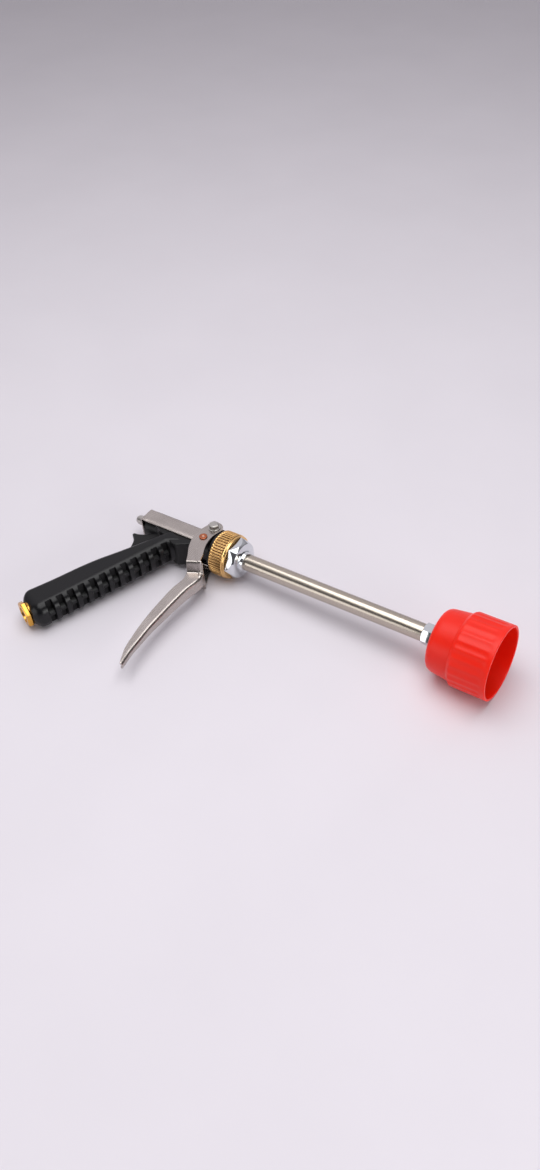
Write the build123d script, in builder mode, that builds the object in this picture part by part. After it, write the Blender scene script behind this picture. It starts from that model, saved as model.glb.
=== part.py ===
"""Watering wand: trigger valve with a plastic grip, stainless lance tube and red spray cup.

The wand lies on its side. +X runs along the lance towards the spray, +Y is the side away
from the grip, and +Z is up from the table. The origin is the centre of the cup's mouth.
Lengths are millimetres.
"""

import os

from build123d import *

os.makedirs("parts", exist_ok=True)

# Lance tube and the joints at its two ends
tube_radius = 6.35
tube_wall = 1.0
ring_back = -228.0
ring_length = 13.8
ring_radius = 17.3
ring_front = ring_back + ring_length
adapter_flats = 28.4
adapter_cone_front = -206.0
adapter_collar_front = -203.5
adapter_collar_radius = 8.4
ferrule_back = -56.5
ferrule_flats = 14.0
hex_front = -48.0
nozzle_thread_radius = 6.2
nozzle_front = -35.0

# Red spray cup
mouth_radius = 27.0
cup_wall = 1.9
cup_back = -46.5
cup_shell_radius = 22.3
collar_back = -29.0
collar_rise = 2.6
lip_width = 3.4
flute_count = 28
flute_depth = 0.7
hub_radius = 9.5
hub_front = -30.0

# Valve housing, on the same axis as the lance
barrel_radius = 10.8
barrel_back = -295.0
barrel_front = -231.0
chamber_radius = 7.0
chamber_front = -246.0
flange_radius = 15.4
spigot_radius = 13.2
seat_radius = 3.6
spindle_radius = 2.5

# Trigger, its pivot bolt, and the drawbar that pulls the spindle
pivot_x = -238.0
pivot_y = 7.4
rivet_x = -239.3
rivet_y = -5.0
sheet = 1.4
drawbar_sheet = 1.2
drawbar_gap = 11.1
drawbar_top = 3.4
drawbar_bottom = -9.1
drawbar_back = -297.4
cheek_gap = 12.7
blade_half_width = 5.7
bolt_radius = 2.0
bolt_flats = 7.0
boss_radius = 3.9
rivet_radius = 2.0
running_fit = 0.06

# Grip, measured down its own axis (u) from the top and forward (v) across it
grip_top = (-266.0, -14.0)
grip_lean = (-0.4003, -0.9164)
grip_start = 2.0
grip_length = 118.0
grip_half_width = 11.0
grip_corner = 4.0
grip_front_round = 8.5
butt_round = 9.0
groove_first = 6.6
groove_pitch = 8.85
groove_count = 12
groove_width = 4.6
groove_depth_top = 4.2
groove_deepening = 0.15
spine_half_width = 1.6
supply_radius = 3.3
supply_bore = 2.4
inlet_flats = 17.6
inlet_stand_out = 4.0
inlet_thread_radius = 5.8
inlet_thread_depth = 10.4
inlet_groove_radius = 6.4
inlet_groove_length = 2.0

across_axis = Plane.YZ
grip_side = Plane(
    origin=(grip_top[0], grip_top[1], 0),
    x_dir=(grip_lean[0], grip_lean[1], 0),
    z_dir=(0, 0, 1),
)


def grip_point(u, v):
    """Place in the XY plane of a point given in the grip's own measures."""
    place = grip_side.from_local_coords((u, v))
    return (place.X, place.Y)


def grip_cross(u):
    """Plane square to the grip's own axis, a distance u below its top."""
    centre = (grip_top[0] + u * grip_lean[0], grip_top[1] + u * grip_lean[1], 0)
    return Plane(origin=centre, x_dir=(0, 0, 1), z_dir=(grip_lean[0], grip_lean[1], 0))


def ring_at(name, start, end, outer, inner):
    """A plain ring about the lance axis between two stations."""
    with BuildPart() as ring:
        with BuildSketch(across_axis.offset(start)):
            Circle(outer)
            Circle(inner, mode=Mode.SUBTRACT)
        extrude(amount=end - start)
    ring.part.label = name
    export_step(ring.part, f"parts/{name}.step")
    return ring


def save(built, name):
    """Name a finished piece and write its file."""
    built.part.label = name
    export_step(built.part, f"parts/{name}.step")


# ---------------------------------------------------------------- lance

# Stainless tube, pushed into the adapter at the back and the ferrule at the front
tube_back = ring_front - 4.0
ring_at("lance_tube", tube_back, hex_front - 2.0, tube_radius, tube_radius - tube_wall)

# Chrome adapter: a collar the union ring pulls on, then a hexagon turned down to a cone
adapter_back = ring_back + 6.0
adapter_shoulder = ring_front - 2.4
adapter_corner = adapter_flats / 3**0.5
adapter_neck_radius = 11.8
with BuildPart() as lance_adapter:
    with BuildSketch(across_axis.offset(adapter_back)):
        Circle(spigot_radius - 0.4)
    extrude(amount=adapter_shoulder - adapter_back)
    with BuildSketch(across_axis.offset(adapter_shoulder)):
        Circle(adapter_neck_radius)
    extrude(amount=ring_front + 0.3 - adapter_shoulder)
    with BuildSketch(across_axis.offset(ring_front + 0.3)):
        RegularPolygon(adapter_corner, 6)
    extrude(amount=adapter_cone_front - ring_front - 0.3)
    with BuildSketch(Plane.XY):
        with BuildLine():
            Polyline(
                (adapter_back - 1, 0),
                (adapter_back - 1, adapter_corner),
                (ring_front + 1.2, adapter_corner),
                (adapter_cone_front - 1.4, adapter_corner - 3.0),
                (adapter_cone_front, adapter_collar_radius + 0.8),
                (adapter_cone_front, 0),
                close=True,
            )
        make_face()
    revolve(axis=Axis.X, mode=Mode.INTERSECT)
    with BuildSketch(across_axis.offset(adapter_cone_front - 1.0)):
        Circle(adapter_collar_radius)
    extrude(amount=adapter_collar_front - adapter_cone_front + 1.0)
    with BuildSketch(across_axis.offset(adapter_back - 1.0)):
        Circle(tube_radius - tube_wall)
    extrude(amount=adapter_collar_front - adapter_back + 2.0, mode=Mode.SUBTRACT)
    with BuildSketch(across_axis.offset(tube_back)):
        Circle(tube_radius)
    extrude(amount=adapter_collar_front - tube_back + 1.0, mode=Mode.SUBTRACT)
save(lance_adapter, "lance_adapter")

# Rubber gasket squeezed between the housing's spigot and the adapter
ring_at("lance_gasket", adapter_back - 2.0, adapter_back, spigot_radius - 0.8, tube_radius)

# Brass union ring, knurled outside and lipped inwards at the front to catch the adapter
knurl_count = 48
with BuildPart() as union_ring:
    with BuildSketch(across_axis.offset(ring_back)):
        Circle(ring_radius)
    extrude(amount=ring_length)
    rim_edges = union_ring.edges().filter_by(GeomType.CIRCLE)
    chamfer(rim_edges, 0.6)
    with BuildSketch(across_axis.offset(ring_back - 1.0)):
        Circle(spigot_radius + 0.3)
    extrude(amount=adapter_shoulder + 0.3 - ring_back + 1.0, mode=Mode.SUBTRACT)
    with BuildSketch(across_axis.offset(ring_back)):
        Circle(adapter_neck_radius + 0.35)
    extrude(amount=ring_length + 1.0, mode=Mode.SUBTRACT)
    with BuildSketch(across_axis.offset(ring_back + 1.6)):
        with PolarLocations(ring_radius + 0.25, knurl_count):
            Circle(0.75)
    extrude(amount=ring_length - 4.0, mode=Mode.SUBTRACT)
save(union_ring, "union_ring")

# Chrome hexagon ferrule on the front of the tube, with the thread the cup turns on
with BuildPart() as tube_ferrule:
    with BuildSketch(across_axis.offset(ferrule_back)):
        RegularPolygon(ferrule_flats / 3**0.5, 6)
    extrude(amount=hex_front - ferrule_back)
    with BuildSketch(Plane.XY):
        with BuildLine():
            Polyline(
                (ferrule_back, 0),
                (ferrule_back, ferrule_flats / 2),
                (ferrule_back + 0.8, ferrule_flats / 3**0.5),
                (hex_front - 0.8, ferrule_flats / 3**0.5),
                (hex_front, ferrule_flats / 2),
                (hex_front, 0),
                close=True,
            )
        make_face()
    revolve(axis=Axis.X, mode=Mode.INTERSECT)
    with BuildSketch(across_axis.offset(hex_front)):
        Circle(nozzle_thread_radius)
    extrude(amount=nozzle_front - hex_front)
    with BuildSketch(across_axis.offset(ferrule_back - 1.0)):
        Circle(tube_radius)
    extrude(amount=hex_front - 2.0 - ferrule_back + 1.0, mode=Mode.SUBTRACT)
    with BuildSketch(across_axis.offset(ferrule_back - 1.0)):
        Circle(4.0)
    extrude(amount=nozzle_front - ferrule_back + 2.0, mode=Mode.SUBTRACT)
save(tube_ferrule, "tube_ferrule")

# Brass swirl core pressed into the ferrule: three slots round a blunt needle
core_back = nozzle_front - 7.0
with BuildPart() as swirl_core:
    with BuildSketch(across_axis.offset(core_back)):
        Circle(4.0)
        with PolarLocations(4.0, 3):
            Rectangle(2.6, 2.0, mode=Mode.SUBTRACT)
    extrude(amount=5.0)
    with BuildSketch(Plane.XY):
        with BuildLine():
            Polyline(
                (core_back + 5.0, 0),
                (core_back + 5.0, 2.2),
                (core_back + 7.6, 2.2),
                (core_back + 9.0, 0.8),
                (core_back + 9.0, 0),
                close=True,
            )
        make_face()
    revolve(axis=Axis.X)
save(swirl_core, "swirl_core")

# ---------------------------------------------------------------- spray cup

# Jet insert: the small brass orifice in the floor of the cup
jet_back = hub_front - 3.0
ring_at("jet_insert", jet_back, hub_front, 4.6, 1.1)

# O-ring that seals the cup on the ferrule's thread end
seal_station = nozzle_front - 4.0
with BuildPart() as cup_seal:
    with BuildSketch(Plane.XY):
        with Locations((seal_station, nozzle_thread_radius + 0.9)):
            Circle(0.85)
    revolve(axis=Axis.X)
save(cup_seal, "cup_seal")

# Red cup: smooth shell behind, a stepped gripping collar in front, a hub in the middle
inner_mouth = mouth_radius - cup_wall
with BuildPart() as spray_cup:
    with BuildSketch(Plane.XY):
        with BuildLine():
            Polyline(
                (cup_back, 0),
                (cup_back, cup_shell_radius),
                (collar_back, mouth_radius - collar_rise),
                (collar_back + collar_rise, mouth_radius - 0.1),
                (0, mouth_radius),
                (0, inner_mouth),
                (collar_back + collar_rise + 4.0, inner_mouth),
                (collar_back, mouth_radius - collar_rise - cup_wall),
                (cup_back + cup_wall, cup_shell_radius - cup_wall),
                (cup_back + cup_wall, hub_radius),
                (hub_front, hub_radius),
                (hub_front, 0),
                close=True,
            )
        make_face()
    revolve(axis=Axis.X)
    back_edges = spray_cup.edges().filter_by(GeomType.CIRCLE).group_by(Axis.X)[0]
    fillet(back_edges, 5.0)
    with BuildSketch(across_axis.offset(cup_back - 1.0)):
        Circle(nozzle_thread_radius + 0.1)
    extrude(amount=nozzle_front + 0.6 - cup_back + 1.0, mode=Mode.SUBTRACT)
    with BuildSketch(across_axis.offset(jet_back)):
        Circle(4.6)
    extrude(amount=4.0, mode=Mode.SUBTRACT)
    with BuildSketch(across_axis.offset(nozzle_front)):
        Circle(3.2)
    extrude(amount=3.0, mode=Mode.SUBTRACT)
    with BuildSketch(across_axis.offset(seal_station - 1.0)):
        Circle(nozzle_thread_radius + 1.8)
    extrude(amount=2.0, mode=Mode.SUBTRACT)
    with BuildSketch(across_axis.offset(collar_back + 0.6)):
        with PolarLocations(mouth_radius + 2.3, flute_count):
            Circle(3.0)
    extrude(amount=-collar_back - 0.6 - lip_width, mode=Mode.SUBTRACT)
save(spray_cup, "spray_cup")

# ---------------------------------------------------------------- valve housing

# Brass spigot moulded into the front of the housing; the union ring screws onto it
flange_front = ring_back - 0.3
spigot_back = flange_front - 6.2
spigot_tail_radius = 8.0
with BuildPart() as outlet_spigot:
    with BuildSketch(across_axis.offset(flange_front)):
        Circle(spigot_radius)
    extrude(amount=adapter_back - 2.0 - flange_front)
    with BuildSketch(across_axis.offset(spigot_back)):
        Circle(spigot_tail_radius)
    extrude(amount=flange_front - spigot_back)
    with BuildSketch(across_axis.offset(spigot_back - 1.0)):
        Circle(tube_radius - tube_wall)
    extrude(amount=adapter_back - spigot_back + 2.0, mode=Mode.SUBTRACT)
save(outlet_spigot, "outlet_spigot")

# Brass seat the valve closes on, pressed into the front of the chamber
ring_at("valve_seat", chamber_front, chamber_front + 3.0, chamber_radius, seat_radius - 0.6)

# Black nylon housing: barrel, pivot lug, front flange, neck down to the grip, rear hook
lug_half_width = 10.7
boss_half_width = 12.4
neck_half_width = 10.5
with BuildPart() as valve_housing:
    with BuildSketch(across_axis.offset(barrel_back)):
        Circle(barrel_radius)
    extrude(amount=barrel_front - barrel_back)
    with BuildSketch(across_axis.offset(barrel_front)):
        Circle(flange_radius)
    extrude(amount=flange_front - barrel_front)
    with BuildSketch(Plane.XY.offset(-lug_half_width)):
        with BuildLine():
            Polyline(
                (pivot_x - 7.0, 0),
                (pivot_x - 5.5, pivot_y + 3.5),
                (pivot_x - 2.5, pivot_y + 5.0),
                (barrel_front + 0.5, pivot_y + 5.0),
                (barrel_front + 0.5, 0),
                close=True,
            )
        make_face()
    extrude(amount=2 * lug_half_width)
    with BuildSketch(Plane.XY.offset(-boss_half_width)):
        with Locations((pivot_x, pivot_y)):
            Circle(boss_radius)
    extrude(amount=2 * boss_half_width)
    with BuildSketch(Plane.XY.offset(-neck_half_width)):
        with BuildLine():
            Polyline(
                (-241.0, 0),
                (-241.0, -12.0),
                (-247.5, -14.0),
                (-255.5, -19.0),
                grip_point(grip_start, 8.3),
                grip_point(grip_start, -6.6),
                (-284.0, -8.0),
                (-284.0, 0),
                close=True,
            )
        make_face()
    extrude(amount=2 * neck_half_width)
    with BuildSketch(Plane.XY.offset(-5.5)):
        with BuildLine():
            hook_top = Spline(
                (-280.5, -9.6),
                (-286.5, -15.8),
                (-291.5, -18.5),
                (-297.0, -19.4),
            )
            hook_tip = Line(hook_top @ 1, (-296.8, -21.6))
            hook_under = Spline(
                hook_tip @ 1,
                (-292.3, -25.4),
                (-289.9, -30.0),
                (-288.5, -34.5),
                grip_point(35.0, -10.1),
            )
            Polyline(
                hook_under @ 1,
                grip_point(34.0, -9.8),
                grip_point(grip_start, -7.1),
                (-272.0, -8.0),
                hook_top @ 0,
            )
        make_face()
    extrude(amount=11.0)
    with BuildSketch(across_axis.offset(barrel_back - 1.0)):
        Circle(chamber_radius)
    extrude(amount=chamber_front + 3.0 - barrel_back + 1.0, mode=Mode.SUBTRACT)
    with BuildSketch(across_axis.offset(barrel_back - 1.0)):
        Circle(chamber_radius + 1.4)
    extrude(amount=9.0, mode=Mode.SUBTRACT)
    with BuildSketch(across_axis.offset(chamber_front)):
        Circle(seat_radius)
    extrude(amount=spigot_back - chamber_front, mode=Mode.SUBTRACT)
    with BuildSketch(across_axis.offset(spigot_back)):
        Circle(spigot_tail_radius)
    extrude(amount=ring_back + 1.0 - spigot_back, mode=Mode.SUBTRACT)
    with BuildSketch(grip_cross(grip_start)):
        Circle(supply_radius)
    extrude(amount=-7.0, mode=Mode.SUBTRACT)
    with BuildSketch(grip_cross(grip_start)):
        Circle(supply_bore)
    extrude(amount=-13.0, mode=Mode.SUBTRACT)
    with BuildSketch(Plane.XY.offset(-boss_half_width)):
        with Locations((pivot_x, pivot_y)):
            Circle(bolt_radius)
    extrude(amount=2 * boss_half_width, mode=Mode.SUBTRACT)
save(valve_housing, "valve_housing")

# Rear cap screwed into the barrel: it guides the spindle and backs up the spring
cap_length = 8.0
with BuildPart() as rear_cap:
    with BuildSketch(across_axis.offset(barrel_back)):
        Circle(chamber_radius + 1.4)
    extrude(amount=cap_length)
    with BuildSketch(across_axis.offset(barrel_back - 1.0)):
        Circle(spindle_radius + running_fit)
    extrude(amount=cap_length + 2.0, mode=Mode.SUBTRACT)
    with BuildSketch(across_axis.offset(barrel_back + cap_length - 3.0)):
        Circle(spindle_radius + 1.9)
    extrude(amount=4.0, mode=Mode.SUBTRACT)
save(rear_cap, "rear_cap")

# Packing ring that keeps water from leaking out along the spindle
packing_start = barrel_back + cap_length - 3.0
ring_at("spindle_packing", packing_start, packing_start + 2.6, spindle_radius + 1.9,
        spindle_radius + running_fit)

# ---------------------------------------------------------------- moving valve

# Steel spindle with the piston that carries the seal
piston_back = chamber_front - 9.0
spindle_back = -308.0
with BuildPart() as valve_spindle:
    with BuildSketch(across_axis.offset(spindle_back)):
        Circle(spindle_radius)
    extrude(amount=piston_back - spindle_back)
    with BuildSketch(across_axis.offset(piston_back)):
        Circle(chamber_radius - 1.0)
    extrude(amount=6.0)
    with BuildSketch(across_axis.offset(piston_back + 6.0)):
        Circle(1.6)
    extrude(amount=2.6)
save(valve_spindle, "valve_spindle")

# Rubber disc on the front of the piston
ring_at("valve_seal", piston_back + 6.0, chamber_front - 0.4, chamber_radius - 1.4, 1.6)

# Coil spring between the piston and the rear cap
spring_front = piston_back - 0.4
spring_back = barrel_back + cap_length + 0.4
spring_wire = 0.55
spring_radius = 4.9
spring_pitch = 3.1
with BuildPart() as return_spring:
    with BuildLine() as coil:
        Helix(
            pitch=spring_pitch,
            height=spring_front - spring_back - 2 * spring_wire,
            radius=spring_radius,
            center=(spring_back + spring_wire, 0, 0),
            direction=(1, 0, 0),
        )
    with BuildSketch(Plane(origin=coil.line @ 0, z_dir=coil.line % 0)):
        Circle(spring_wire)
    sweep(path=coil.line)
save(return_spring, "return_spring")

# Washer and dome nut on the tail of the spindle, behind the drawbar
washer_front = drawbar_back - 0.35
ring_at("spindle_washer", washer_front - 1.0, washer_front, 5.2, spindle_radius)
nut_front = washer_front - 1.0
with BuildPart() as dome_nut:
    with BuildSketch(across_axis.offset(nut_front)):
        RegularPolygon(8.0 / 3**0.5, 6)
    extrude(amount=-4.5)
    with BuildSketch(Plane.XY):
        with BuildLine():
            dome_line = Polyline(
                (nut_front - 11.8, 0),
                (nut_front - 4.5, 0),
                (nut_front - 4.5, 3.9),
                (nut_front - 8.0, 3.7),
            )
            Spline(dome_line @ 1, (nut_front - 10.8, 2.2), dome_line @ 0)
        make_face()
    revolve(axis=Axis.X)
    with BuildSketch(across_axis.offset(nut_front)):
        Circle(spindle_radius)
    extrude(amount=spindle_back - nut_front, mode=Mode.SUBTRACT)
save(dome_nut, "dome_nut")

# ---------------------------------------------------------------- trigger and drawbar

# U-shaped stainless drawbar: two side straps joined by a bridge behind the barrel
strap_front = -234.8
with BuildPart() as drawbar:
    with BuildSketch(Plane.XY.offset(-drawbar_gap - drawbar_sheet)):
        with BuildLine():
            Polyline(
                (drawbar_back, drawbar_top),
                (pivot_x - 9.8, drawbar_top),
                (pivot_x - 5.0, 0.0),
                (strap_front, rivet_y + 3.6),
                (strap_front, rivet_y - 1.5),
                (rivet_x + 1.0, drawbar_bottom),
                (drawbar_back, drawbar_bottom),
                close=True,
            )
        make_face()
    extrude(amount=2 * (drawbar_gap + drawbar_sheet))
    with BuildSketch(Plane.XY.offset(-drawbar_gap)):
        with Locations((drawbar_back + drawbar_sheet + 50.0, 0)):
            Rectangle(100.0, 60.0)
    extrude(amount=2 * drawbar_gap, mode=Mode.SUBTRACT)
    bridge_corners = drawbar.edges().filter_by(Axis.Y).group_by(Axis.X)[0]
    fillet(bridge_corners, 1.0)
    with BuildSketch(across_axis.offset(drawbar_back - 1.0)):
        Circle(spindle_radius + 0.45)
    extrude(amount=drawbar_sheet + 2.0, mode=Mode.SUBTRACT)
    with BuildSketch(Plane.XY.offset(-20.0)):
        with Locations((rivet_x, rivet_y)):
            Circle(rivet_radius + running_fit)
    extrude(amount=40.0, mode=Mode.SUBTRACT)
save(drawbar, "drawbar")

# Trigger outline seen from the side: ear, cheek, then the long blade
ear_radius = 6.5
with BuildSketch(Plane.XY.offset(-20.0)) as trigger_side:
    with BuildLine():
        ear_left = (pivot_x - ear_radius, pivot_y)
        ear_top = (pivot_x, pivot_y + ear_radius)
        ear_right = (pivot_x + ear_radius, pivot_y)
        ThreePointArc(ear_left, ear_top, ear_right)
        front_line = Spline(
            ear_right,
            (-233.6, -2.0),
            (-231.8, -12.5),
            (-226.5, -23.5),
            (-221.4, -31.5),
            (-220.4, -38.0),
            (-222.2, -50.0),
            (-222.9, -64.0),
            (-223.1, -80.0),
            (-223.0, -92.0),
            (-222.1, -104.0),
            (-221.0, -116.0),
            (-218.6, -128.5),
        )
        tip_line = Line(front_line @ 1, (-220.6, -129.4))
        Spline(
            tip_line @ 1,
            (-223.6, -123.0),
            (-226.6, -116.0),
            (-228.7, -106.5),
            (-230.8, -94.0),
            (-232.0, -81.5),
            (-232.6, -68.0),
            (-232.6, -54.0),
            (-231.4, -41.0),
            (-236.4, -29.0),
            (-242.4, -19.0),
            (-246.0, -9.0),
            (-246.4, 0.5),
            ear_left,
        )
    make_face()

# The same trigger seen from the front: cheeks wide apart, stepping in to the blade
cheek_out = cheek_gap + sheet
step_start = -29.6
step_end = -34.4
blade_sides = (
    (step_end, blade_half_width),
    (-50.0, 5.5),
    (-64.0, 4.9),
    (-80.0, 4.3),
    (-92.0, 3.8),
    (-110.0, 3.2),
    (-134.0, 2.8),
)
with BuildSketch(across_axis.offset(-260.0)) as trigger_front:
    with BuildLine():
        Polyline(
            (pivot_y + 10.0, cheek_out),
            (step_start, cheek_out),
            *[(y, half) for y, half in blade_sides],
            *[(y, -half) for y, half in reversed(blade_sides)],
            (step_start, -cheek_out),
            (pivot_y + 10.0, -cheek_out),
            close=True,
        )
    make_face()
with BuildSketch(across_axis.offset(-260.0)) as trigger_inside:
    with BuildLine():
        Polyline(
            (pivot_y + 12.0, cheek_gap),
            (step_start + 0.9, cheek_gap),
            *[(y + 0.9, half - sheet) for y, half in blade_sides],
            *[(y + 0.9, sheet - half) for y, half in reversed(blade_sides)],
            (step_start + 0.9, -cheek_gap),
            (pivot_y + 12.0, -cheek_gap),
            close=True,
        )
    make_face()

# Pressed trigger: the two views cut one blank, hollowed from behind to leave sheet metal
with BuildPart() as trigger_hollow:
    add(trigger_inside.sketch)
    extrude(amount=80.0, dir=(1, 0, 0))
    with BuildSketch(Plane.XY.offset(-20.0)):
        with BuildLine():
            inner_front = Spline(
                (-218.0, pivot_y + 14.0),
                (-218.0, -15.0),
                (-220.4, -28.6),
                (-221.9, -38.0),
                (-223.6, -50.0),
                (-224.3, -64.0),
                (-224.5, -80.0),
                (-224.4, -92.0),
                (-223.5, -104.0),
                (-222.4, -116.0),
                (-219.8, -131.0),
            )
            Polyline(
                inner_front @ 1,
                (-260.0, -131.0),
                (-260.0, pivot_y + 14.0),
                inner_front @ 0,
            )
        make_face()
    extrude(amount=40.0, mode=Mode.INTERSECT)
with BuildPart() as trigger:
    add(trigger_side.sketch)
    extrude(amount=40.0, dir=(0, 0, 1))
    add(trigger_front.sketch)
    extrude(amount=80.0, dir=(1, 0, 0), mode=Mode.INTERSECT)
    add(trigger_hollow.part, mode=Mode.SUBTRACT)
    with BuildSketch(Plane.XY.offset(-20.0)):
        with Locations((pivot_x, pivot_y)):
            Circle(bolt_radius + running_fit)
        with Locations((rivet_x, rivet_y)):
            Circle(rivet_radius)
    extrude(amount=40.0, mode=Mode.SUBTRACT)
save(trigger, "trigger")

# Two copper-coloured rivets join the cheeks to the drawbar straps
rivet_inner = drawbar_gap + 0.1
with BuildPart() as drawbar_rivets:
    with BuildSketch(Plane.XY.offset(rivet_inner)):
        with Locations((rivet_x, rivet_y)):
            Circle(rivet_radius)
    extrude(amount=cheek_out + 0.4 - rivet_inner)
    with BuildSketch(Plane.XY.offset(cheek_out)):
        with Locations((rivet_x, rivet_y)):
            Circle(3.1)
            Circle(1.3, mode=Mode.SUBTRACT)
    extrude(amount=0.9)
    mirror(about=Plane.XY)
save(drawbar_rivets, "drawbar_rivets")

# Pivot bolt through the housing's lug, with washers and a nut on the far side
washer_thickness = 0.6
bolt_seat = cheek_out + 0.1 + washer_thickness
with BuildPart() as pivot_bolt:
    with BuildSketch(Plane.XY.offset(bolt_seat)):
        with Locations((pivot_x, pivot_y)):
            RegularPolygon(bolt_flats / 3**0.5, 6)
    extrude(amount=3.4)
    with BuildSketch(Plane.XY.offset(bolt_seat)):
        with Locations((pivot_x, pivot_y)):
            Circle(bolt_radius)
    extrude(amount=-2 * bolt_seat - 5.0)
    head_rim = pivot_bolt.faces().sort_by(Axis.Z)[-1].edges()
    chamfer(head_rim, 0.5)
save(pivot_bolt, "pivot_bolt")

with BuildPart() as pivot_washers:
    with BuildSketch(Plane.XY.offset(cheek_out + 0.1)):
        with Locations((pivot_x, pivot_y)):
            Circle(4.6)
            Circle(bolt_radius, mode=Mode.SUBTRACT)
    extrude(amount=washer_thickness)
    mirror(about=Plane.XY)
save(pivot_washers, "pivot_washers")

with BuildPart() as pivot_nut:
    with BuildSketch(Plane.XY.offset(-bolt_seat)):
        with Locations((pivot_x, pivot_y)):
            RegularPolygon(bolt_flats / 3**0.5, 6)
            Circle(bolt_radius, mode=Mode.SUBTRACT)
    extrude(amount=-4.0)
save(pivot_nut, "pivot_nut")

# ---------------------------------------------------------------- grip and inlet

# Black grip sleeve, wider at the butt, with a double row of pockets down its front
front_top = 7.6
front_butt = 14.6
front_slope = (front_butt - front_top) / (grip_length - grip_start)
with BuildPart() as grip_sleeve:
    with BuildSketch(grip_side.offset(-grip_half_width)):
        with BuildLine():
            back_line = Spline(
                (grip_start, -6.9),
                (20.0, -8.2),
                (38.0, -9.9),
                (54.0, -11.8),
                (70.0, -12.5),
                (88.0, -12.2),
                (103.0, -12.4),
                (grip_length, -14.6),
            )
            Polyline(
                back_line @ 1,
                (grip_length, front_butt),
                (grip_start, front_top),
                back_line @ 0,
            )
        make_face()
    extrude(amount=2 * grip_half_width)
    butt_corner = grip_sleeve.edges().filter_by(Axis.Z).sort_by(Axis.Y)[0]
    fillet(butt_corner, butt_round)
    for kind, radius in ((GeomType.BSPLINE, grip_corner), (GeomType.LINE, grip_front_round)):
        side_edges = grip_sleeve.faces().filter_by(Axis.Z).edges().filter_by(kind)
        fillet(side_edges.filter_by(lambda edge: edge.length > 80.0), radius)
    for row in range(groove_count):
        station = groove_first + row * groove_pitch
        groove_depth = groove_depth_top + groove_deepening * row
        surface = front_top + front_slope * (station - grip_start)
        with BuildSketch(grip_side.offset(-grip_half_width - 1.0)):
            with Locations((station, surface)):
                Rectangle(groove_width, 2 * groove_depth)
        extrude(amount=grip_half_width + 1.0 - spine_half_width, mode=Mode.SUBTRACT)
        with BuildSketch(grip_side.offset(spine_half_width)):
            with Locations((station, surface)):
                Rectangle(groove_width, 2 * groove_depth)
        extrude(amount=grip_half_width + 1.0 - spine_half_width, mode=Mode.SUBTRACT)
        with BuildSketch(grip_side.offset(-spine_half_width)):
            with Locations((station, surface + 0.7)):
                Circle(groove_width / 2)
        extrude(amount=2 * spine_half_width, mode=Mode.SUBTRACT)
    with BuildSketch(grip_cross(grip_start - 1.0)):
        Circle(supply_radius + 0.1)
    extrude(amount=grip_length - grip_start + 2.0, mode=Mode.SUBTRACT)
    with BuildSketch(grip_cross(grip_length - 12.2)):
        Circle(8.2)
    extrude(amount=13.0, mode=Mode.SUBTRACT)
save(grip_sleeve, "grip_sleeve")

# Supply tube that carries the water up through the grip and the load of the hose
supply_end = grip_length - 12.0
with BuildPart() as supply_tube:
    with BuildSketch(grip_cross(grip_start - 6.8)):
        Circle(supply_radius)
        Circle(supply_bore, mode=Mode.SUBTRACT)
    extrude(amount=supply_end - grip_start + 6.8)
save(supply_tube, "supply_tube")

# Brass inlet: a threaded hexagon that closes the butt and takes the hose tail
inlet_end = grip_length + inlet_stand_out
inlet_floor = inlet_end - inlet_thread_depth - inlet_groove_length
with BuildPart() as hose_inlet:
    with BuildSketch(grip_cross(grip_length)):
        RegularPolygon(inlet_flats / 3**0.5, 6)
    extrude(amount=inlet_stand_out)
    inlet_rim = hose_inlet.faces().sort_by(SortBy.AREA)[-2:].edges()
    chamfer(inlet_rim, 0.8)
    with BuildSketch(grip_cross(supply_end)):
        Circle(8.1)
    extrude(amount=inlet_end - 1.0 - supply_end)
    with BuildSketch(grip_cross(supply_end - 1.0)):
        Circle(supply_bore)
    extrude(amount=inlet_end - supply_end + 2.0, mode=Mode.SUBTRACT)
    with BuildSketch(grip_cross(inlet_end - inlet_thread_depth)):
        Circle(inlet_thread_radius)
    extrude(amount=inlet_thread_depth + 1.0, mode=Mode.SUBTRACT)
    with BuildSketch(grip_cross(inlet_floor)):
        Circle(inlet_groove_radius)
    extrude(amount=inlet_groove_length, mode=Mode.SUBTRACT)
save(hose_inlet, "hose_inlet")

# Flat rubber washer held in the groove below the inlet thread
with BuildPart() as inlet_washer:
    with BuildSketch(grip_cross(inlet_floor)):
        Circle(inlet_groove_radius - 0.1)
        Circle(supply_bore, mode=Mode.SUBTRACT)
    extrude(amount=1.6)
save(inlet_washer, "inlet_washer")
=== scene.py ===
import math

import bmesh
import bpy
from mathutils import Matrix, Vector


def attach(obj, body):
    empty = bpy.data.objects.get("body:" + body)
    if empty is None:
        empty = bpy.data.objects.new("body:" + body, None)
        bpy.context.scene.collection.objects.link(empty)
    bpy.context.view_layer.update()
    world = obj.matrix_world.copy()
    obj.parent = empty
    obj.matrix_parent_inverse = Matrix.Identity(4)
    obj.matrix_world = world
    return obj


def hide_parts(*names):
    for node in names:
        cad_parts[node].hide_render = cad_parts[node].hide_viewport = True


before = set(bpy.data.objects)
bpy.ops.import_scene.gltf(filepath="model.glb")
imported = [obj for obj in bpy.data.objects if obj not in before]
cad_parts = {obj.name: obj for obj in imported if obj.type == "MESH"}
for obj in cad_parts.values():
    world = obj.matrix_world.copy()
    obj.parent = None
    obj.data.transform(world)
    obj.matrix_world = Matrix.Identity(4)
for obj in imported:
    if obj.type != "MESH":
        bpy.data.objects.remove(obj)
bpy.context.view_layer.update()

# ---------------------------------------------------------------- valve housing
# The housing is one black moulding: barrel, pivot lug, front flange, neck and the hook over the hand.
# It is glass-filled nylon, injection moulded, so every corner of it is a little round.

MM = 0.001


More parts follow.
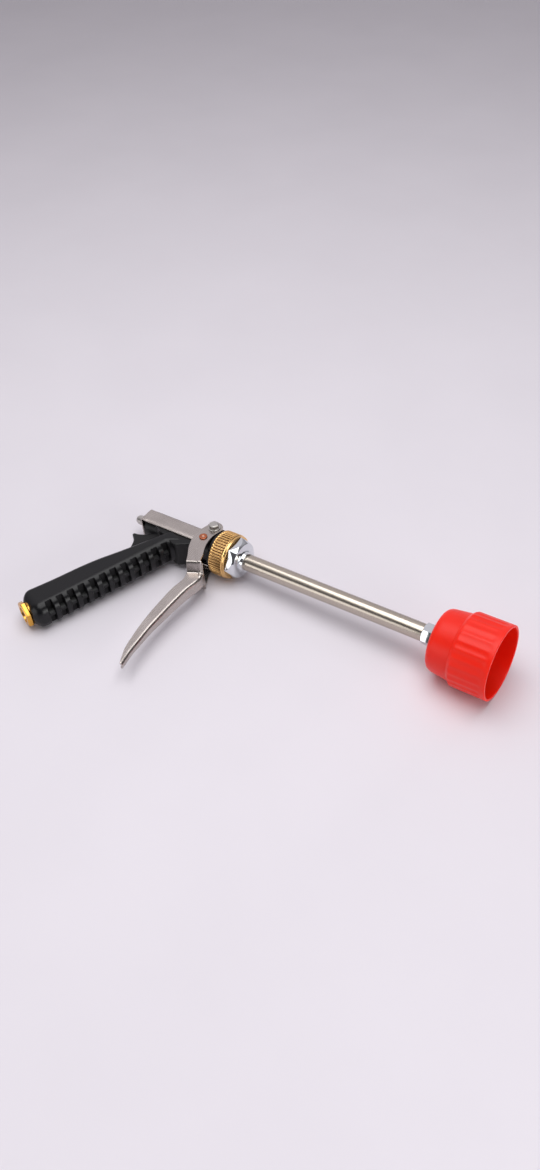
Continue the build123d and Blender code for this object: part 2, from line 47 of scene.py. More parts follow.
def linear(hex_colour):
    """An sRGB hex colour as the linear RGBA that shaders take."""
    parts = [int(hex_colour[i:i + 2], 16) / 255 for i in (1, 3, 5)]
    return [c / 12.92 if c < 0.04045 else ((c + 0.055) / 1.055) ** 2.4 for c in parts] + [1.0]


def add_node(tree, kind, inputs=None, **settings):
    """Adds one node: its settings first, then each input filled with a value or linked to a socket."""
    node = tree.nodes.new(kind)
    for name, value in settings.items():
        setattr(node, name, value)
    for key, value in (inputs or {}).items():
        if isinstance(value, bpy.types.NodeSocket):
            tree.links.new(value, node.inputs[key])
        else:
            node.inputs[key].default_value = value
    return node


def start_finish(name, **constants):
    """A new material with one shader, its constant values, and the place on the piece to draw patterns by."""
    finish = bpy.data.materials.new(name)
    finish.use_nodes = True
    tree = finish.node_tree
    tree.nodes.clear()
    place = add_node(tree, "ShaderNodeTexCoord").outputs["Object"]
    shader = add_node(tree, "ShaderNodeBsdfPrincipled")
    for socket, value in constants.items():
        shader.inputs[socket.replace("_", " ")].default_value = value
    add_node(tree, "ShaderNodeOutputMaterial", {"Surface": shader.outputs["BSDF"]})
    return finish, tree, shader, place


def noise(tree, place, scale, detail):
    """A cloudy pattern, 0 to 1."""
    cloud = add_node(tree, "ShaderNodeTexNoise", {"Vector": place, "Scale": scale, "Detail": detail})
    return cloud.outputs["Fac"]


def blend(tree, factor, first, second):
    """A colour between two; each is an sRGB hex colour or a socket."""
    mix = add_node(tree, "ShaderNodeMix", {"Factor": factor}, data_type="RGBA")
    for socket, colour in (("A", first), ("B", second)):
        if isinstance(colour, str):
            mix.inputs[socket].default_value = linear(colour)
        else:
            tree.links.new(colour, mix.inputs[socket])
    return mix.outputs["Result"]


def roughen(tree, shader, pattern, low, high):
    """Lets a pattern vary the roughness between two values."""
    band = add_node(tree, "ShaderNodeMapRange", {"Value": pattern, "To Min": low, "To Max": high})
    tree.links.new(band.outputs["Result"], shader.inputs["Roughness"])


def emboss(tree, shader, pattern, strength, depth):
    """Lets a pattern raise the surface by a real depth."""
    bump = add_node(tree, "ShaderNodeBump", {"Height": pattern, "Strength": strength, "Distance": depth})
    tree.links.new(bump.outputs["Normal"], shader.inputs["Normal"])


def put_on(name, mesh, finish, body, slot, *nodes, sharp=35):
    """Makes a mesh a piece of the wand: shading, material, the body it rides on, what it stands for."""
    piece = bpy.data.objects.new(name, mesh)
    bpy.context.scene.collection.objects.link(piece)
    mesh.materials.clear()
    mesh.materials.append(finish)
    mesh.shade_smooth()
    mesh.set_sharp_from_angle(angle=math.radians(sharp))
    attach(piece, body)
    if nodes:
        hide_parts(*nodes)
    return piece


def baked(piece_mesh, *steps):
    """Runs a mesh through modifiers, each a (kind, settings) pair, and gives back the plain result."""
    carrier = bpy.data.objects.new("carrier", piece_mesh)
    bpy.context.scene.collection.objects.link(carrier)
    for kind, settings in steps:
        modifier = carrier.modifiers.new(kind, kind)
        for name, value in settings.items():
            setattr(modifier, name, value)
    graph = bpy.context.evaluated_depsgraph_get()
    result = bpy.data.meshes.new_from_object(carrier.evaluated_get(graph))
    bpy.data.objects.remove(carrier)
    return result


def rounded(width, segments, over):
    """A bevel step for baked: rounds every edge sharper than an angle in degrees."""
    return "BEVEL", {"width": width, "segments": segments, "limit_method": "ANGLE",
                     "angle_limit": math.radians(over)}


def merged_copy(node):
    """A copy of a CAD node's mesh with its loose triangles joined up and its flat faces made whole."""
    bm = bmesh.new()
    bm.from_mesh(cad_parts[node].data)
    bmesh.ops.remove_doubles(bm, verts=bm.verts, dist=0.002 * MM)
    bmesh.ops.dissolve_limit(bm, angle_limit=math.radians(1.0), verts=bm.verts, edges=bm.edges)
    mesh = bpy.data.meshes.new(node + "_copy")
    bm.to_mesh(mesh)
    bm.free()
    return mesh


# Glass-filled nylon: near black, a dull satin from the spark-eroded mould, with a very fine even grain.
nylon, tree, shader, place = start_finish("moulded_black_nylon", IOR=1.53, Specular_IOR_Level=0.27)
blotch = noise(tree, place, 60.0, 3.0)
tint = blend(tree, blotch, "#0a0a0b", "#111113")
tree.links.new(tint, shader.inputs["Base Color"])
# Mould grain is about 0.15 mm; it is drawn at 0.35 mm so that it shows.
grain = noise(tree, place, 1 / (0.35 * MM), 2.0)
roughen(tree, shader, grain, 0.3, 0.42)
emboss(tree, shader, grain, 0.25, 0.05 * MM)

housing_mesh = baked(
    merged_copy("valve_housing"),
    ("REMESH", {"mode": "VOXEL", "voxel_size": 0.45 * MM, "use_smooth_shade": True}),
    ("SMOOTH", {"factor": 0.5, "iterations": 12}),
)
put_on("valve_housing_moulding", housing_mesh, nylon, "housing", "black_housing", "valve_housing", sharp=80)
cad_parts["rear_cap"].data.materials[0] = nylon

# ---------------------------------------------------------------- valve inside the barrel
# Brass seat, steel spindle with its rubber disc, packing and the coil spring. They are CAD nodes, out of
# sight. Brass and steel are turned, the rubber is moulded, the spring is drawn wire.

# Turned brass: warm yellow, with fine rings from the lathe tool about 0.2 mm apart.
brass, tree, shader, place = start_finish("turned_brass", Metallic=1.0)
stain = noise(tree, place, 140.0, 5.0)
tint = blend(tree, stain, "#c98f3a", "#e6b35a")
tree.links.new(tint, shader.inputs["Base Color"])
rings = add_node(tree, "ShaderNodeTexWave", {"Vector": place, "Scale": 0.3 / MM, "Distortion": 0.6},
                 bands_direction="X")
roughen(tree, shader, stain, 0.16, 0.34)
emboss(tree, shader, rings.outputs["Fac"], 0.12, 0.03 * MM)

# Zinc-plated steel: pale blue-grey, slightly cloudy from the plating bath.
zinc, tree, shader, place = start_finish("zinc_plated_steel", Metallic=1.0)
cloud = noise(tree, place, 300.0, 4.0)
tint = blend(tree, cloud, "#aaa7a3", "#d2cec9")
tree.links.new(tint, shader.inputs["Base Color"])
roughen(tree, shader, cloud, 0.22, 0.4)

# Sealing rubber: dull black with a faint bloom on the surface.
rubber, tree, shader, place = start_finish("moulded_seal_rubber", IOR=1.52)
bloom = noise(tree, place, 500.0, 3.0)
tint = blend(tree, bloom, "#141414", "#242424")
tree.links.new(tint, shader.inputs["Base Color"])
roughen(tree, shader, bloom, 0.6, 0.8)

for node, finish in (
    ("valve_seat", brass),
    ("supply_tube", brass),
    ("valve_spindle", zinc),
    ("return_spring", zinc),
    ("valve_seal", rubber),
    ("spindle_packing", rubber),
):
    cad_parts[node].data.materials[0] = finish

# ---------------------------------------------------------------- grip sleeve
# The grip is a black plastic sleeve over the supply tube, swelling to a squared butt.
# Its front has twelve finger notches, each moulded as two pockets beside a low middle rib.

GRIP_TOP = Vector((-266.0, -14.0, 0.0)) * MM
DOWN = Vector((-0.4003, -0.9164, 0.0)).normalized()
FRONT = Vector((0.9164, -0.4003, 0.0)).normalized()
GRIP_START = 2.0 * MM
GRIP_TOP_END = -7.0 * MM
GRIP_LENGTH = 118.0 * MM
GRIP_HALF_WIDTH = 10.9 * MM
BACK_ROUND = 4.2 * MM
FRONT_ROUND = 8.4 * MM
BUTT_ROUND = 9.0 * MM
FRONT_TOP = 7.6 * MM
FRONT_BUTT = 14.6 * MM
FRONT_SLOPE = (FRONT_BUTT - FRONT_TOP) / (GRIP_LENGTH - GRIP_START)
BACK_LINE = ((-7.0, -6.6), (2.0, -6.9), (20.0, -8.2), (38.0, -9.9), (54.0, -11.8), (70.0, -12.5),
             (88.0, -12.2), (103.0, -12.4), (118.0, -13.0))


def follow(points, at):
    """Height of the smooth line through points, each (place, height), at one place along it."""
    last = len(points) - 1
    step = max(i for i in range(last) if i == 0 or (points[i][0] - at) * (points[0][0] - at) >= 0
               and abs(points[i][0] - points[0][0]) <= abs(at - points[0][0]))

    def slope(i):
        low, high = points[max(i - 1, 0)], points[min(i + 1, last)]
        return (high[1] - low[1]) / (high[0] - low[0])

    (x0, y0), (x1, y1) = points[step], points[step + 1]
    width = x1 - x0
    t = min(max((at - x0) / width, 0.0), 1.0)
    return (y0 * (1 + 2 * t) * (1 - t) ** 2 + y1 * (3 - 2 * t) * t * t
            + width * (slope(step) * t * (1 - t) ** 2 - slope(step + 1) * (1 - t) * t * t))


def turn_outside_up(bm):
    """Turns an open sheet's faces over if the topmost one looks down, so that it thickens inwards."""
    top = max(bm.faces, key=lambda face: face.calc_center_median().z)
    if top.normal.z < 0:
        bmesh.ops.reverse_faces(bm, faces=bm.faces)


def grid_mesh(name, rows, close_rows=False, cap_first=False, cap_last=False):
    """A mesh skinned over rows of points, each row joined to the next; rows may close on themselves."""
    bm = bmesh.new()
    lines = [[bm.verts.new(point) for point in row] for row in rows]
    across = len(rows[0])
    for a, b in zip(lines, lines[1:]):
        for i in range(across if close_rows else across - 1):
            j = (i + 1) % across
            bm.faces.new((a[i], a[j], b[j], b[i]))
    if cap_first:
        bm.faces.new(list(reversed(lines[0])))
    if cap_last:
        bm.faces.new(lines[-1])
    bmesh.ops.recalc_face_normals(bm, faces=bm.faces)
    if not close_rows:
        turn_outside_up(bm)
    mesh = bpy.data.meshes.new(name)
    bm.to_mesh(mesh)
    bm.free()
    return mesh


def grip_row(u, shrink):
    """One closed section of the grip at u: a rectangle with round corners, drawn in by shrink."""
    flare = max(0.0, (4.3 * MM - u) / (11.3 * MM))
    front = FRONT_TOP + FRONT_SLOPE * (u - GRIP_START) + 9.1 * MM * flare ** 1.1 - shrink
    back = follow(BACK_LINE, u / MM) * MM + shrink
    half = GRIP_HALF_WIDTH - shrink
    front_turn, back_turn = min(FRONT_ROUND, half), min(BACK_ROUND, half)
    row = []
    for start, turn in ((0, front_turn), (90, back_turn), (180, back_turn), (270, front_turn)):
        cv = front - turn if start in (0, 270) else back + turn
        cz = half - turn if start < 180 else turn - half
        for i in range(15):
            angle = math.radians(start + 90 * i / 14)
            row.append((cv + turn * math.cos(angle), cz + turn * math.sin(angle)))
    return row


def evened(row, steps):
    """The same closed line cut into equal steps, so that the pockets' edges land on a fine mesh."""
    ends = row + row[:1]
    lengths = [math.dist(a, b) for a, b in zip(ends, ends[1:])]
    total = sum(lengths)
    result, index, gone = [], 0, 0.0
    for i in range(steps):
        target = total * i / steps
        while gone + lengths[index] < target:
            gone += lengths[index]
            index += 1
        t = (target - gone) / max(lengths[index], 1e-9)
        a, b = ends[index], ends[index + 1]
        result.append((a[0] + (b[0] - a[0]) * t, a[1] + (b[1] - a[1]) * t))
    return result


grip_rows = []
stations = 400
top_round = 3.0 * MM
for i in range(stations + 1):
    u = GRIP_TOP_END + (GRIP_LENGTH - GRIP_TOP_END) * i / stations
    past_top = max(GRIP_TOP_END + top_round - u, 0.0)
    past_butt = max(u - (GRIP_LENGTH + 1.0 * MM - BUTT_ROUND), 0.0)
    shrink = min(top_round - math.sqrt(max(top_round ** 2 - past_top ** 2, 0.0)), 2.2 * MM)
    shrink += BUTT_ROUND - math.sqrt(BUTT_ROUND ** 2 - past_butt ** 2)
    flat = evened(grip_row(u, shrink), 176)
    grip_rows.append([GRIP_TOP + DOWN * u + FRONT * v + Vector((0, 0, z)) for v, z in flat])
grip_mesh = grid_mesh("grip", grip_rows, close_rows=True, cap_first=True, cap_last=True)

def math_node(tree, operation, *values):
    """One sum in a node tree; gives its result socket."""
    return add_node(tree, "ShaderNodeMath", dict(enumerate(values)), operation=operation).outputs[0]


# The pockets are pressed into the front by rule: every pitch, to a depth, either side of the rib.
pockets = bpy.data.node_groups.new("finger_pockets", "GeometryNodeTree")
pockets.interface.new_socket("Geometry", in_out="INPUT", socket_type="NodeSocketGeometry")
pockets.interface.new_socket("Geometry", in_out="OUTPUT", socket_type="NodeSocketGeometry")
for label in ("First", "Pitch", "Rows", "Width", "Depth", "Deepening", "Rib depth", "Rib half width",
              "Edge", "Start", "Front at start", "Front slope"):
    pockets.interface.new_socket(label, in_out="INPUT", socket_type="NodeSocketFloat")
for label in ("Top", "Down", "Front"):
    pockets.interface.new_socket(label, in_out="INPUT", socket_type="NodeSocketVector")
pockets.interface.new_socket("Material", in_out="INPUT", socket_type="NodeSocketMaterial")
size = add_node(pockets, "NodeGroupInput").outputs
point = add_node(pockets, "GeometryNodeInputPosition").outputs[0]
away = add_node(pockets, "ShaderNodeVectorMath", {0: point, 1: size["Top"]}, operation="SUBTRACT").outputs[0]
along, out = (add_node(pockets, "ShaderNodeVectorMath", {0: away, 1: size[way]},
                       operation="DOT_PRODUCT").outputs["Value"] for way in ("Down", "Front"))
height = add_node(pockets, "ShaderNodeSeparateXYZ", {0: away}).outputs["Z"]
side = math_node(pockets, "ABSOLUTE", height)
past = math_node(pockets, "SUBTRACT", along, size["First"])
row = math_node(pockets, "DIVIDE", past, size["Pitch"])
near = math_node(pockets, "ROUND", row)
last = math_node(pockets, "SUBTRACT", size["Rows"], 1.0)
kept = add_node(pockets, "ShaderNodeClamp", {"Value": near, "Min": 0.0, "Max": last}).outputs[0]
middle = math_node(pockets, "MULTIPLY", kept, size["Pitch"])
off = math_node(pockets, "SUBTRACT", past, middle)
off = math_node(pockets, "ABSOLUTE", off)
half = math_node(pockets, "MULTIPLY", size["Width"], 0.5)
inner = math_node(pockets, "SUBTRACT", half, size["Edge"])
outer = math_node(pockets, "ADD", half, size["Edge"])
slot = add_node(pockets, "ShaderNodeMapRange",
                {"Value": off, "From Min": inner, "From Max": outer, "To Min": 1.0, "To Max": 0.0},
                interpolation_type="SMOOTHSTEP").outputs[0]
rib_in = math_node(pockets, "SUBTRACT", size["Rib half width"], size["Edge"])
rib_out = math_node(pockets, "ADD", size["Rib half width"], size["Edge"])
deepest = math_node(pockets, "MULTIPLY_ADD", kept, size["Deepening"], size["Depth"])
depth = add_node(pockets, "ShaderNodeMapRange",
                 {"Value": side, "From Min": rib_in, "From Max": rib_out,
                  "To Min": size["Rib depth"], "To Max": deepest},
                 interpolation_type="SMOOTHSTEP").outputs[0]
run = math_node(pockets, "SUBTRACT", along, size["Start"])
rise = math_node(pockets, "MULTIPLY", run, size["Front slope"])
face = math_node(pockets, "ADD", rise, size["Front at start"])
floor_line = math_node(pockets, "SUBTRACT", face, depth)
over = math_node(pockets, "SUBTRACT", out, floor_line)
over = math_node(pockets, "MAXIMUM", over, 0.0)
cut = math_node(pockets, "MULTIPLY", over, slot)
back = math_node(pockets, "MULTIPLY", cut, -1.0)
move = add_node(pockets, "ShaderNodeVectorMath", {0: size["Front"], "Scale": back},
                operation="SCALE").outputs[0]
sunk = math_node(pockets, "DIVIDE", cut, size["Depth"])
marked = add_node(pockets, "GeometryNodeStoreNamedAttribute",
                  {"Geometry": size["Geometry"], "Name": "pocket", "Value": sunk}).outputs[0]
pressed = add_node(pockets, "GeometryNodeSetPosition", {"Geometry": marked, "Offset": move}).outputs[0]
real = add_node(pockets, "GeometryNodeRealizeInstances", {"Geometry": pressed}).outputs[0]
coated = add_node(pockets, "GeometryNodeSetMaterial",
                  {"Geometry": real, "Material": size["Material"]}).outputs[0]
add_node(pockets, "NodeGroupOutput", {"Geometry": coated})


def grown(mesh, tree, sizes):
    """Puts a mesh through a Geometry Nodes tree with named sizes and gives back the plain result."""
    carrier = bpy.data.objects.new("carrier", mesh)
    bpy.context.scene.collection.objects.link(carrier)
    modifier = carrier.modifiers.new(tree.name, "NODES")
    modifier.node_group = tree
    for item in tree.interface.items_tree:
        if item.in_out == "INPUT" and item.name in sizes:
            modifier[item.identifier] = sizes[item.name]
    graph = bpy.context.evaluated_depsgraph_get()
    result = bpy.data.meshes.new_from_object(carrier.evaluated_get(graph))
    bpy.data.objects.remove(carrier)
    return result


# Moulded grip plastic: black with a soft sheen; hands have polished the tops of the ribs, and the finger
# pockets are painted darker as painted shade.
grip_plastic, tree, shader, place = start_finish("moulded_black_grip_plastic", IOR=1.5,
                                                 Specular_IOR_Level=0.3)
blotch = noise(tree, place, 45.0, 4.0)
tint = blend(tree, blotch, "#0a0a0c", "#111114")
pocket = add_node(tree, "ShaderNodeAttribute", attribute_name="pocket").outputs["Fac"]
# The finger pockets are painted near black by their depth, as painted shade in the recesses.
pocket_painted_shade = blend(tree, pocket, tint, "#060607")
tree.links.new(pocket_painted_shade, shader.inputs["Base Color"])
grain = noise(tree, place, 1 / (0.4 * MM), 2.0)
rough = add_node(tree, "ShaderNodeMapRange", {"Value": grain, "To Min": 0.24, "To Max": 0.36})
dull = math_node(tree, "MULTIPLY_ADD", pocket, 0.25, rough.outputs["Result"])
tree.links.new(dull, shader.inputs["Roughness"])
emboss(tree, shader, grain, 0.2, 0.05 * MM)

grip_mesh = grown(grip_mesh, pockets, {
    "First": 6.6 * MM, "Pitch": 8.85 * MM, "Rows": 12.0, "Width": 4.6 * MM, "Depth": 4.2 * MM,
    "Deepening": 0.15 * MM, "Rib depth": 1.6 * MM, "Rib half width": 1.7 * MM, "Edge": 0.3 * MM,
    "Start": GRIP_START, "Front at start": FRONT_TOP, "Front slope": FRONT_SLOPE,
    "Top": GRIP_TOP, "Down": DOWN, "Front": FRONT, "Material": grip_plastic,
})
put_on("grip_moulding", grip_mesh, grip_plastic, "housing", "black_grip", "grip_sleeve", sharp=60)

# ---------------------------------------------------------------- hose inlet
# A brass hexagon with a female thread closes the butt of the grip and takes the hose tail.
# It is turned from hexagon bar, with a flat rubber washer at the bottom of the thread.

inlet_mesh = baked(
    merged_copy("hose_inlet"),
    rounded(0.25 * MM, 2, 40),
)
put_on("brass_inlet", inlet_mesh, brass, "housing", "brass", "hose_inlet")
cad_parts["inlet_washer"].data.materials[0] = rubber

# ---------------------------------------------------------------- trigger
# The trigger is pressed from 1.4 mm stainless sheet: two cheeks on the pivot bolt, stepping in below
# the barrel to a narrow channel blade for the fingers. The sheet is brushed along its length.

SHEET = 1.4 * MM
PIVOT = Vector((-238.0, 7.4, 0.0)) * MM
EAR = 6.5 * MM
CHEEK_HALF = 14.1
FRONT_EDGE = ((7.4, -231.5), (-2.0, -233.6), (-12.5, -231.8), (-23.5, -226.5), (-31.5, -221.4),
              (-38.0, -220.4), (-50.0, -222.2), (-64.0, -222.9), (-80.0, -223.1), (-92.0, -223.0),
              (-104.0, -222.1), (-116.0, -221.0), (-129.0, -218.6))
REAR_EDGE = ((7.4, -244.5), (0.5, -246.4), (-9.0, -246.0), (-19.0, -242.4), (-29.0, -236.4),
             (-41.0, -231.4), (-54.0, -232.6), (-68.0, -232.6), (-81.5, -232.0), (-94.0, -230.8),
             (-106.5, -228.7), (-116.0, -226.6), (-123.0, -223.6), (-129.0, -220.8))
BLADE_SIDE = ((-34.4, 5.7), (-50.0, 5.5), (-64.0, 4.9), (-80.0, 4.3), (-92.0, 3.8), (-110.0, 3.2),
              (-129.0, 2.9))


def ease(value, low, high):
    """0 below low, 1 above high, and a smooth step between them."""
    t = min(max((value - low) / (high - low), 0.0), 1.0)
    return t * t * (3 - 2 * t)


def sheet_half_width(x, y):
    """How far the sheet is from the middle, in mm: wide cheeks, a steep slanting step, a slim blade."""
    blade = follow(BLADE_SIDE, min(y, -34.4))
    down = -(y - 0.51 * (x + 229.3))
    crease = 0.35 * ease(-y, 17.0, 20.0) * math.exp(-((x + 0.75 * (y + 19.0) + 235.5) / 0.9) ** 2)
    return blade + (CHEEK_HALF - blade) * (1 - ease(down, 30.0, 34.2)) - crease


flat_steps, bend_steps, web_steps = 30, 8, 8
web_top = -27.5
ys = [13.86, 13.7, 13.3, 12.6, 11.6, 10.4, 9.0, 7.4]
ys += [7.4 - 1.2 * i for i in range(1, 26)]
ys += [-22.6 - 0.35 * i for i in range(1, 49)]
ys += [-39.4 - 1.0 * i for i in range(1, 89)] + [-128.3]
bm = bmesh.new()
previous = None
for y in ys:
    if y > 7.4:
        reach = math.sqrt(max(EAR ** 2 - ((y - 7.4) * MM) ** 2, 0.0))
        rear, front = PIVOT.x - reach, PIVOT.x + reach
    else:
        rear, front = follow(REAR_EDGE, y) * MM, follow(FRONT_EDGE, y) * MM
    bend = 2.5 * MM * ease(-y, 20.0, 32.0)
    near = []
    for i in range(flat_steps + 1):
        x = rear + (front - bend - rear) * i / flat_steps
        near.append(Vector((x, y * MM, sheet_half_width(x / MM, y) * MM)))
    wide = near[-1].z
    web = []
    if y <= web_top:
        for i in range(1, bend_steps + 1):
            angle = math.radians(90 - 90 * i / bend_steps)
            web.append(Vector((front - bend + bend * math.cos(angle), y * MM,
                               wide - bend + bend * math.sin(angle))))
        inner_wide = wide - bend
        web += [Vector((front, y * MM, inner_wide * (1 - i / web_steps))) for i in range(1, web_steps + 1)]
    half_row = near + web
    far = [Vector((p.x, p.y, -p.z)) for p in half_row]
    if web:
        row = half_row + list(reversed(far[:-1]))
        rows_now = [[bm.verts.new(p) for p in row]]
    else:
        rows_now = [[bm.verts.new(p) for p in half_row], [bm.verts.new(p) for p in reversed(far)]]
    if previous:
        pieces = list(zip(previous, rows_now))
        if len(previous) == 2 and len(rows_now) == 1:
            full = rows_now[0]
            pieces = [(previous[0], full[:flat_steps + 1]), (previous[1], full[-flat_steps - 1:])]
        for above, below in pieces:
            for a, b, c, d in zip(above, above[1:], below[1:], below):
                bm.faces.new((a, b, c, d))
    previous = rows_now
bmesh.ops.recalc_face_normals(bm, faces=bm.faces)
turn_outside_up(bm)
trigger_skin = bpy.data.meshes.new("trigger")
bm.to_mesh(trigger_skin)
bm.free()

# Brushed stainless: grey with a warm cast, fine scratches that run along the sheet. They are really
# about 0.1 mm wide and are drawn at 0.4 mm.
def brushed(name, stretch_x, stretch_y):
    finish, tree, shader, place = start_finish(name, Metallic=1.0)
    scale = (stretch_x, stretch_y, 1 / (0.4 * MM))
    stretch = add_node(tree, "ShaderNodeMapping", {"Vector": place, "Scale": scale})
    brush = noise(tree, stretch.outputs[0], 1.0, 4.0)
    smear = noise(tree, place, 70.0, 3.0)
    tint = blend(tree, smear, "#a8a09b", "#c6beb9")
    tree.links.new(tint, shader.inputs["Base Color"])
    roughen(tree, shader, brush, 0.22, 0.32)
    emboss(tree, shader, brush, 0.06, 0.02 * MM)
    return finish


stainless = brushed("brushed_stainless_sheet", 1 / (0.4 * MM), 60.0)
trigger_mesh = baked(
    trigger_skin,
    ("SOLIDIFY", {"thickness": SHEET, "offset": -1.0}),
    rounded(0.3 * MM, 2, 50),
)
put_on("trigger_pressing", trigger_mesh, stainless, "trigger", "stainless", "trigger", sharp=50)

# ---------------------------------------------------------------- drawbar
# A stainless strap bent to a U: one leg each side of the barrel, and a bridge behind it that pulls the
# spindle. The lower edge of each leg is turned in a little to stiffen it.

STRAP_OUT = 12.3 * MM
STRAP_BACK = -297.4 * MM
STRAP_BEND = -247.8
STRAP_TOP = ((STRAP_BEND, 3.4), (-243.0, 0.0), (-234.8, -1.4))
corner = 1.8 * MM
path = [(-234.8 * MM, STRAP_OUT), (-239.0 * MM, STRAP_OUT), (-243.0 * MM, STRAP_OUT),
        (STRAP_BEND * MM, STRAP_OUT)]
path += [((-252.0 - 4.0 * i) * MM, STRAP_OUT) for i in range(11)]
for i in range(7):
    angle = math.radians(90 + 15 * i)
    path.append((STRAP_BACK + corner + corner * math.cos(angle),
                 STRAP_OUT - corner + corner * math.sin(angle)))
path += [(STRAP_BACK, z) for z in (7.0 * MM, 3.5 * MM, 0.0)]
path += [(x, -z) for x, z in reversed(path[:-1])]
strap_rows = []
for x, z in path:
    top = STRAP_TOP[0][1] if x < STRAP_BEND * MM else follow(STRAP_TOP, x / MM)
    turn_in = 0.7 * MM if x > STRAP_BACK + corner else 0.0
    sign = 1 if z > 0 else -1
    column = []
    for y in (top, top - 2.0, -5.0, -7.0, -8.2, -9.1):
        lean = turn_in * ease(-y, 6.6, 9.1)
        column.append(Vector((x, y * MM, z - sign * lean)))
    strap_rows.append(column)
drawbar_mesh = baked(
    grid_mesh("drawbar", strap_rows),
    ("SOLIDIFY", {"thickness": 1.2 * MM, "offset": -1.0}),
    rounded(0.25 * MM, 2, 50),
)
strap_steel = brushed("brushed_stainless_strap", 60.0, 1 / (0.4 * MM))
put_on("drawbar_strap", drawbar_mesh, strap_steel, "drawbar", "stainless", "drawbar", sharp=50)

# ---------------------------------------------------------------- rivets, pivot bolt and spindle nut
# Copper-coloured rivets join cheek and strap; a zinc-plated hexagon bolt is the trigger's pivot.
# The spindle ends in a washer and a dome nut behind the drawbar.

# Copper-plated rivet: pale orange-pink with random tarnish; each head is paler in the middle as a painted
# highlight and darker round the rim as painted shade.
copper, tree, shader, place = start_finish("copper_plated_rivet", Metallic=1.0)
tarnish = noise(tree, place, 600.0, 4.0)
tint = blend(tree, tarnish, "#c98f74", "#f0c9b4")
# Each head is painted darker towards its rim as painted shade, leaving a painted highlight in the middle.
flat_place = add_node(tree, "ShaderNodeMapping", {"Vector": place, "Scale": (1.0, 1.0, 0.0)}).outputs[0]
off_centre = add_node(tree, "ShaderNodeVectorMath", {0: flat_place, 1: (-0.2393, -0.005, 0.0)},
                      operation="DISTANCE").outputs["Value"]
rim = add_node(tree, "ShaderNodeMapRange", {"Value": off_centre, "From Min": 1.0 * MM, "From Max": 1.5 * MM})
rivet_rim_shaded = blend(tree, rim.outputs["Result"], tint, "#b4694a")
tree.links.new(rivet_rim_shaded, shader.inputs["Base Color"])
roughen(tree, shader, tarnish, 0.25, 0.45)

for node, finish, body, slot_name in (
    ("drawbar_rivets", copper, "trigger", "copper_rivet"),
    ("pivot_bolt", zinc, "housing", "zinc"),
    ("pivot_washers", zinc, "housing", "zinc"),
    ("pivot_nut", zinc, "housing", "zinc"),
    ("spindle_washer", zinc, "spindle", "zinc"),
    ("dome_nut", zinc, "spindle", "zinc"),
):
    fastener = baked(
        merged_copy(node),
        rounded(0.2 * MM, 2, 40),
    )
    put_on(node + "_turned", fastener, finish, body, slot_name, node)

# ---------------------------------------------------------------- union ring
# The knurled brass ring screws onto the housing's spigot and pulls the lance's collar up to the gasket.
# Its outside is straight-knurled in the lathe, with a plain bright rim at the front.


def soften(outline, turns=5):
    """Rounds the corners of a closed outline whose points are (x, radius, round)."""
    result = []
    count = len(outline)
    for i, (x, r, cut_back) in enumerate(outline):
        here = Vector((x, r))
        if cut_back == 0:
            result.append((x, r))
            continue
        before, after = Vector(outline[i - 1][:2]), Vector(outline[(i + 1) % count][:2])
        start = here + (before - here).normalized() * cut_back
        end = here + (after - here).normalized() * cut_back
        for step in range(turns + 1):
            t = step / turns
            spot = start * (1 - t) ** 2 + here * 2 * t * (1 - t) + end * t * t
            result.append((spot.x, spot.y))
    return result


def turned(name, outline, around):
    """A closed outline of (x, radius) in millimetres spun round the lance axis, like work in a lathe."""
    rows = []
    for x, r in outline + outline[:1]:
        rows.append([Vector((x, r * math.cos(a), r * math.sin(a))) * MM
                     for a in (2 * math.pi * i / around for i in range(around))])
    mesh = grid_mesh(name, rows, close_rows=True)
    bm = bmesh.new()
    bm.from_mesh(mesh)
    bmesh.ops.remove_doubles(bm, verts=bm.verts, dist=0.001 * MM)
    bmesh.ops.recalc_face_normals(bm, faces=bm.faces)
    bm.to_mesh(mesh)
    bm.free()
    return mesh


def divided(outline, longest):
    """The same closed outline with no side longer than a given length, for ridges to bend."""
    result = []
    for a, b in zip(outline, outline[1:] + outline[:1]):
        parts = max(1, math.ceil(math.dist(a, b) / longest))
        result += [(a[0] + (b[0] - a[0]) * i / parts, a[1] + (b[1] - a[1]) * i / parts) for i in range(parts)]
    return result


# Ridges round the lance axis, cut into a turned piece by rule; the ring's knurl and the cup's flutes use it.
ridges = bpy.data.node_groups.new("ridges_round_axis", "GeometryNodeTree")
ridges.interface.new_socket("Geometry", in_out="INPUT", socket_type="NodeSocketGeometry")
ridges.interface.new_socket("Geometry", in_out="OUTPUT", socket_type="NodeSocketGeometry")
for label in ("Count", "Depth", "Shape", "Start", "End", "Fade", "Outside of"):
    ridges.interface.new_socket(label, in_out="INPUT", socket_type="NodeSocketFloat")
ridges.interface.new_socket("Material", in_out="INPUT", socket_type="NodeSocketMaterial")
size = add_node(ridges, "NodeGroupInput").outputs
point = add_node(ridges, "GeometryNodeInputPosition").outputs[0]
axis = add_node(ridges, "ShaderNodeSeparateXYZ", {0: point}).outputs
spoke = add_node(ridges, "ShaderNodeCombineXYZ", {"Y": axis["Y"], "Z": axis["Z"]}).outputs[0]
radius = add_node(ridges, "ShaderNodeVectorMath", {0: spoke}, operation="LENGTH").outputs["Value"]
outward = add_node(ridges, "ShaderNodeVectorMath", {0: spoke}, operation="NORMALIZE").outputs[0]
angle = math_node(ridges, "ARCTAN2", axis["Z"], axis["Y"])
half_count = math_node(ridges, "MULTIPLY", size["Count"], 0.5)
phase = math_node(ridges, "MULTIPLY", angle, half_count)
wave = math_node(ridges, "SINE", phase)
wave = math_node(ridges, "ABSOLUTE", wave)
crest = math_node(ridges, "POWER", wave, size["Shape"])
valley = math_node(ridges, "SUBTRACT", 1.0, crest)
